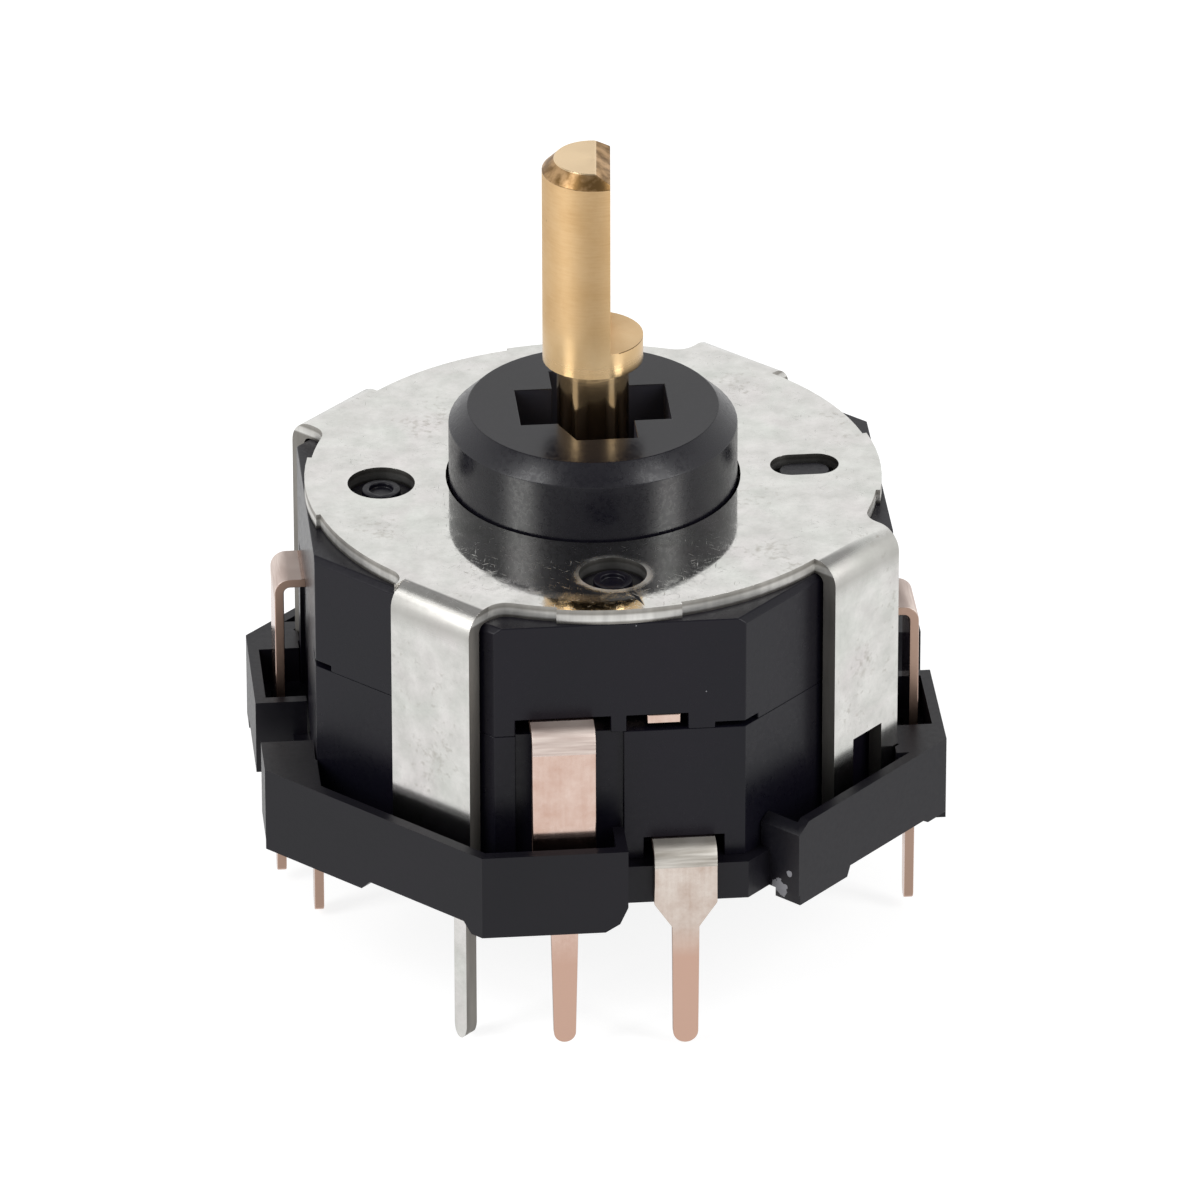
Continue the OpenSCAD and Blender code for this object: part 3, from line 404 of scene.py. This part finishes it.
def terminal_copper(name, blade, plating, tin_low):
    """Copper alloy strip with a thin flash of tin: pink and smooth, with dull tin over the bend and less of
    it on the pins. The blade and the plating each have two tones, and the tin starts at tin_low."""
    made, tree = material(name)
    place = node(tree, "ShaderNodeTexCoord").outputs["Object"]
    down = node(tree, "ShaderNodeMapping", {"Vector": place, "Scale": (1, 1, 0.06)})
    lines = node(tree, "ShaderNodeTexNoise", {"Vector": down.outputs["Vector"], "Scale": per_mm(0.15),
        "Detail": 3})
    clouds = node(tree, "ShaderNodeTexNoise", {"Vector": place, "Scale": per_mm(0.9), "Detail": 8,
        "Roughness": 0.7})
    blended = node(tree, "ShaderNodeMath", {0: lines.outputs["Fac"], 1: 0.3, 2: clouds.outputs["Fac"]},
        operation="MULTIPLY_ADD")
    share = node(tree, "ShaderNodeMapRange", {"Value": blended.outputs[0], "From Min": 0.4, "From Max": 0.9})
    bare = node(tree, "ShaderNodeMix", {"Factor": share.outputs["Result"], 6: colour(blade[0]),
        7: colour(blade[1])}, data_type="RGBA")
    height = node(tree, "ShaderNodeSeparateXYZ", {"Vector": place})
    pin = node(tree, "ShaderNodeMapRange", {"Value": height.outputs["Z"],
        "From Min": PIN_HEIGHTS[0] * MM, "From Max": PIN_HEIGHTS[1] * MM, "To Min": 1, "To Max": 0})
    tone = node(tree, "ShaderNodeMix", {"Factor": pin.outputs["Result"], 6: bare.outputs[2],
        7: colour("#cdaa98")}, data_type="RGBA")
    high = node(tree, "ShaderNodeMapRange", {"Value": height.outputs["Z"], "From Min": tin_low * MM,
        "From Max": (tin_low + TIN_FADE) * MM})
    spread = node(tree, "ShaderNodeVectorMath", {0: place}, operation="ABSOLUTE")
    sides = node(tree, "ShaderNodeSeparateXYZ", {"Vector": spread.outputs["Vector"]})
    reach = node(tree, "ShaderNodeMath", {0: sides.outputs["X"], 1: sides.outputs["Y"]},
        operation="MAXIMUM")
    outside = node(tree, "ShaderNodeMath", {0: reach.outputs[0], 1: TIN_REACH * MM},
        operation="GREATER_THAN")
    tin = node(tree, "ShaderNodeMath", {0: high.outputs["Result"], 1: outside.outputs[0]},
        operation="MULTIPLY")
    across = node(tree, "ShaderNodeMapping", {"Vector": place, "Scale": (0.06, 0.06, 1)})
    rolling = node(tree, "ShaderNodeTexNoise", {"Vector": across.outputs["Vector"], "Scale": per_mm(0.12),
        "Detail": 3})
    banded = node(tree, "ShaderNodeMapRange", {"Value": rolling.outputs["Fac"], "From Min": 0.35,
        "From Max": 0.65})
    tinned = node(tree, "ShaderNodeMix", {"Factor": banded.outputs["Result"], 6: colour(plating[0]),
        7: colour(plating[1])}, data_type="RGBA")
    plated = node(tree, "ShaderNodeMix", {"Factor": tin.outputs[0], 6: tone.outputs[2],
        7: tinned.outputs[2]}, data_type="RGBA")
    polished = node(tree, "ShaderNodeMapRange", {"Value": lines.outputs["Fac"], "To Min": 0.1,
        "To Max": 0.2})
    rough = node(tree, "ShaderNodeMix", {"Factor": tin.outputs[0], 2: polished.outputs["Result"], 3: 0.62},
        data_type="FLOAT")
    marks = node(tree, "ShaderNodeMix", {"Factor": tin.outputs[0], 2: lines.outputs["Fac"],
        3: rolling.outputs["Fac"]}, data_type="FLOAT")
    bump = node(tree, "ShaderNodeBump", {"Height": marks.outputs[0], "Distance": 0.0005 * MM})
    shader = node(tree, "ShaderNodeBsdfPrincipled", {"Base Color": plated.outputs[2], "Metallic": 1,
        "Roughness": rough.outputs[0], "Normal": bump.outputs["Normal"]})
    node(tree, "ShaderNodeOutputMaterial", {"Surface": shader.outputs[0]})
    return made


def plain_metal(name, code, low, high):
    """Rolled strip for springs and contacts, or its punched side: one even tone with faint marks, whose
    roughness runs from low to high."""
    made, tree = material(name)
    place = node(tree, "ShaderNodeTexCoord").outputs["Object"]
    along = node(tree, "ShaderNodeMapping", {"Vector": place, "Scale": (1, 0.08, 1)})
    lines = node(tree, "ShaderNodeTexNoise", {"Vector": along.outputs["Vector"], "Scale": per_mm(0.1),
        "Detail": 3})
    rough = node(tree, "ShaderNodeMapRange", {"Value": lines.outputs["Fac"], "To Min": low, "To Max": high})
    shader = node(tree, "ShaderNodeBsdfPrincipled", {"Base Color": colour(code), "Metallic": 1,
        "Roughness": rough.outputs["Result"]})
    node(tree, "ShaderNodeOutputMaterial", {"Surface": shader.outputs[0]})
    return made


def natural_acetal():
    """Acetal without colour, moulded: milky white and slippery."""
    made, tree = material("natural_acetal")
    place = node(tree, "ShaderNodeTexCoord").outputs["Object"]
    clouds = node(tree, "ShaderNodeTexNoise", {"Vector": place, "Scale": per_mm(3), "Detail": 2})
    tone = node(tree, "ShaderNodeMix", {"Factor": clouds.outputs["Fac"], 6: colour("#e4dfd2"),
        7: colour("#ece8dd")}, data_type="RGBA")
    shader = node(tree, "ShaderNodeBsdfPrincipled", {"Base Color": tone.outputs[2], "Roughness": 0.4,
        "IOR": 1.48})
    node(tree, "ShaderNodeOutputMaterial", {"Surface": shader.outputs[0]})
    return made


finishes = {
    "zinc_plate": zinc_plated_sheet(),
    "black_plastic": moulded_plastic("moulded_pbt_case", "#090c13", "#140f1b", 0.32, 0.27),
    "base_plastic": moulded_plastic("moulded_pbt_base", "#0e0f14", "#16131b", 0.36, 0.28, GATE_SCARS),
    "rotor_plastic": moulded_plastic("moulded_pbt_rotor", "#0c0c13", "#15131c", 0.29, 0.44, uneven=0.08),
    "rubbed_plastic": moulded_plastic("rubbed_pbt", "#0b0b11", "#131119", 0.21, 0.3),
    # Painted light: a lighter grey for surfaces deep inside the switch, the slot walls and the sleeve, so
    # that they show.
    "painted_light_plastic": moulded_plastic("pbt_painted_light", "#2a2a34", "#3a3a42", 0.5, 0.3),
    "natural_plastic": natural_acetal(),
    "brass": turned_brass(),
    "encoder_copper": terminal_copper("copper_strip_encoder", ("#ceab9b", "#e8d1c5"),
        ("#cdbcb4", "#e9dcd4"), ENCODER_TIN),
    "switch_copper": terminal_copper("copper_strip_switch", ("#c2ada0", "#e4dad1"),
        ("#b4aea5", "#dfdbd4"), SWITCH_TIN),
    "cut_copper": plain_metal("punched_copper_edge", "#b29686", 0.3, 0.42),
    "spring_steel": plain_metal("spring_steel_strip", "#b9bcc0", 0.2, 0.34),
    "contact_bronze": plain_metal("contact_bronze_strip", "#c79a5e", 0.22, 0.36),
}

# Nodes that don't take their slot's finish: the base shows its gate's scars, and the sleeve is painted a
# lighter grey, as painted light
OWN_FINISH = {"base": "base_plastic", "drive_sleeve": "painted_light_plastic"}


def finish_of(name, slot):
    """The material of a node. The encoder's terminals and the switch's differ in tone and in where their tin
    starts."""
    if name in OWN_FINISH:
        return finishes[OWN_FINISH[name]]
    if slot == "terminal_copper":
        return finishes["encoder_copper" if name.startswith("encoder") else "switch_copper"]
    return finishes[slot]


slots = {row["node"]: row["material_slot"] for row in frame["record"]["subparts"]}
for name, made in frame["nodes"].items():
    made.data.materials.clear()
    made.data.materials.append(finish_of(name, slots[name]))


# Pieces
# Corners that are closer than this are merged, faces that meet at less than the first angle become one, and
# an edge that is sharper than the second is broken
WELD = 0.0005 * MM
FLAT_ANGLE = math.radians(0.5)
SMOOTH_ANGLE = math.radians(12)
# Widths of the broken edges in millimetres: most pieces', the base's, and the shaft's and the terminals'.
# Then the number of faces across them
EDGE = 0.05
BASE_EDGE = 0.08
FINE_EDGE = 0.03
EDGE_STEPS = 3


def refined(name, edge):
    """A smooth copy of a node: its triangles are merged to whole faces and its sharp edges are broken by
    edge millimetres. It stands for the node."""
    shape = bmesh.new()
    shape.from_mesh(frame["nodes"][name].data)
    bmesh.ops.remove_doubles(shape, verts=shape.verts, dist=WELD)
    bmesh.ops.dissolve_limit(shape, angle_limit=FLAT_ANGLE, verts=shape.verts, edges=shape.edges)
    crisp = [e for e in shape.edges if e.is_manifold and e.calc_face_angle() > SMOOTH_ANGLE]
    bmesh.ops.bevel(shape, geom=crisp, offset=edge * MM, offset_type="OFFSET", affect="EDGES",
        segments=EDGE_STEPS, profile=0.5, material=-1, clamp_overlap=True)
    for face in shape.faces:
        face.smooth = True
    mesh = bpy.data.meshes.new(name + "_piece")
    shape.to_mesh(mesh)
    shape.free()
    made = link(name + "_piece", mesh)
    mesh.materials.append(finish_of(name, slots[name]))
    weights = made.modifiers.new("face normals", "WEIGHTED_NORMAL")
    weights.mode = "FACE_AREA"
    weights.keep_sharp = True
    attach(made, BODY_OF[name])
    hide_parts(name)
    return made


# A face is a wall where its normal points up or down by less than the first share, and the side of a strip
# where its normal points sideways by more than the second
UPRIGHT = 0.34
SIDEWAYS = 0.85
# Distances from the axis within which the walls of the cover's top are its holes', and the rotor's walls are
# its slots'
HOLES_REACH = 8.3
SLOTS_REACH = 3.2
# How far below the rotor's top a face may lie and still be part of it
TOP_MARGIN = 0.01


def cut_edges(cover):
    """Gives the cut edges of the cover, in its flat part and down its legs, the bare steel. Inside its holes
    the steel is painted darker, as painted shade."""
    cover.data.materials.append(sheared_edge("sheared_steel_edge", 1))
    cover.data.materials.append(sheared_edge("hole_edge_painted_shade", 0.36))
    for face in cover.data.polygons:
        n = face.normal
        diagonal = Vector((math.copysign(1, face.center.x), math.copysign(1, face.center.y), 0)).normalized()
        leg_side = abs(n.cross(diagonal).z) > SIDEWAYS
        top_rim = abs(n.z) < UPRIGHT and face.center.z > (COVER_TOP - SHEET) * MM
        if top_rim and face.center.xy.length < HOLES_REACH * MM:
            # Painted shade: the walls of the holes take the darkened edge finish.
            face.material_index = 2
        elif leg_side or top_rim:
            face.material_index = 1


def rotor_finishes(rotor):
    """Gives the walls of the slots around the shaft a dull finish painted a lighter grey, as painted light,
    and the top a rubbed one.
    """
    rotor.data.materials.append(finishes["painted_light_plastic"])
    rotor.data.materials.append(finishes["rubbed_plastic"])
    for face in rotor.data.polygons:
        if face.center.z > (ROTOR_TOP - TOP_MARGIN) * MM:
            face.material_index = 2
        elif face.center.xy.length < SLOTS_REACH * MM and face.center.z < (ROTOR_TOP - EDGE) * MM:
            face.material_index = 1


def punched_sides(terminal, name):
    """Gives the sides of a terminal bare copper: its strip was tinned before it was punched."""
    terminal.data.materials.append(finishes["cut_copper"])
    axis = 1 if "left" in name or "right" in name else 0
    for face in terminal.data.polygons:
        if abs(face.normal[axis]) > SIDEWAYS:
            face.material_index = 1


TERMINALS = [name for name, slot in slots.items() if slot == "terminal_copper"]
cut_edges(refined("cover", EDGE))
refined("upper_case", EDGE)
refined("middle_case", EDGE)
refined("base", BASE_EDGE)
rotor_finishes(refined("rotor", EDGE))
refined("shaft", FINE_EDGE)
for name in TERMINALS:
    punched_sides(refined(name, FINE_EDGE), name)


# Studio: a white floor, a white surround and two softboxes
FLOOR_Z = -4.75 * MM
FLOOR_HALF = 3
# Strength of the floor's own white, as it lights the object, as metal shows it and as the camera sees it
FLOOR_GLOW = 0.25
FLOOR_MIRRORED = 0.66
FLOOR_SEEN = 0.84
# Strength of the surround, as it lights the object and as the camera sees it
SURROUND_GLOW = 0.5
SURROUND_SEEN = 1.0
# What metal shows of the room: its strength overhead and behind the camera, and the Z and the Y of the
# directions over which each fades in
OVERHEAD = 0.36
OVERHEAD_FADE = (0.56, 0.78)
BEHIND = 0.4
BEHIND_FADE = (-0.85, -0.3)
# Distance of the softboxes, the height that they aim at, their elevation in degrees and their own height
LIGHT_DISTANCE = 900
LIGHT_AIM = 8
LIGHT_ELEVATION = 34
LIGHT_HEIGHT = 760


def ray_is(tree, *kinds):
    """1 for a ray of one of the named kinds."""
    path = node(tree, "ShaderNodeLightPath")
    found = path.outputs[kinds[0]]
    for kind in kinds[1:]:
        found = node(tree, "ShaderNodeMath", {0: found, 1: path.outputs[kind]},
            operation="MAXIMUM").outputs[0]
    return found


def floor():
    """White table that keeps a faint shadow."""
    mesh = bpy.data.meshes.new("floor")
    shape = bmesh.new()
    bmesh.ops.create_grid(shape, x_segments=1, y_segments=1, size=FLOOR_HALF)
    bmesh.ops.translate(shape, verts=shape.verts, vec=(0, 0, FLOOR_Z))
    shape.to_mesh(mesh)
    shape.free()
    made = link("floor", mesh)
    look, tree = material("white_table")
    paint = node(tree, "ShaderNodeBsdfDiffuse", {"Color": colour("#9c9c9c")})
    mirrored = node(tree, "ShaderNodeMapRange", {"Value": ray_is(tree, "Is Glossy Ray",
        "Is Transmission Ray"), "To Min": FLOOR_GLOW, "To Max": FLOOR_MIRRORED})
    strength = node(tree, "ShaderNodeMix", {"Factor": ray_is(tree, "Is Camera Ray"),
        2: mirrored.outputs["Result"], 3: FLOOR_SEEN}, data_type="FLOAT")
    glow = node(tree, "ShaderNodeEmission", {"Strength": strength.outputs[0]})
    both = node(tree, "ShaderNodeAddShader", {0: paint.outputs[0], 1: glow.outputs[0]})
    node(tree, "ShaderNodeOutputMaterial", {"Surface": both.outputs[0]})
    mesh.materials.append(look)


def surround():
    """White all round for the eye; metal also shows the room over the white sheet and behind the camera."""
    world = bpy.data.worlds.new("surround")
    bpy.context.scene.world = world
    world.use_nodes = True
    tree = world.node_tree
    tree.nodes.clear()
    direction = node(tree, "ShaderNodeTexCoord").outputs["Generated"]
    axes = node(tree, "ShaderNodeSeparateXYZ", {"Vector": direction})
    overhead = node(tree, "ShaderNodeMapRange", {"Value": axes.outputs["Z"],
        "From Min": OVERHEAD_FADE[0], "From Max": OVERHEAD_FADE[1], "To Min": 1, "To Max": OVERHEAD})
    ahead = node(tree, "ShaderNodeMapRange", {"Value": axes.outputs["Y"],
        "From Min": BEHIND_FADE[0], "From Max": BEHIND_FADE[1], "To Min": BEHIND, "To Max": 1})
    room = node(tree, "ShaderNodeMath", {0: overhead.outputs["Result"], 1: ahead.outputs["Result"]},
        operation="MULTIPLY")
    mirrored = node(tree, "ShaderNodeMix", {"Factor": ray_is(tree, "Is Glossy Ray", "Is Transmission Ray"),
        2: SURROUND_GLOW, 3: room.outputs[0]}, data_type="FLOAT")
    strength = node(tree, "ShaderNodeMix", {"Factor": ray_is(tree, "Is Camera Ray"),
        2: mirrored.outputs[0], 3: SURROUND_SEEN}, data_type="FLOAT")
    light = node(tree, "ShaderNodeBackground", {"Color": colour("#ffffff"),
        "Strength": strength.outputs[0]})
    node(tree, "ShaderNodeOutputWorld", {"Surface": light.outputs[0]})


def softbox(name, azimuth, width, radiance):
    """An area light around the object. Azimuth runs from the camera's side to the right."""
    data = bpy.data.lights.new(name, "AREA")
    data.shape = "RECTANGLE"
    data.size = width * MM
    data.size_y = LIGHT_HEIGHT * MM
    data.energy = radiance * math.pi * data.size * data.size_y
    made = link(name, data)
    a = math.radians(azimuth)
    e = math.radians(LIGHT_ELEVATION)
    towards = Vector((math.sin(a) * math.cos(e), -math.cos(a) * math.cos(e), math.sin(e)))
    aim = Vector((0, 0, LIGHT_AIM)) * MM
    turn = towards.to_track_quat("Z", "Y").to_matrix().to_4x4()
    made.matrix_world = OBJECT_TURN @ Matrix.Translation(aim + towards * LIGHT_DISTANCE * MM) @ turn


floor()
surround()
softbox("softbox_left", -60, 300, 5.6)
softbox("softbox_right", 62, 280, 5.3)

bpy.context.scene.view_settings.view_transform = "Standard"
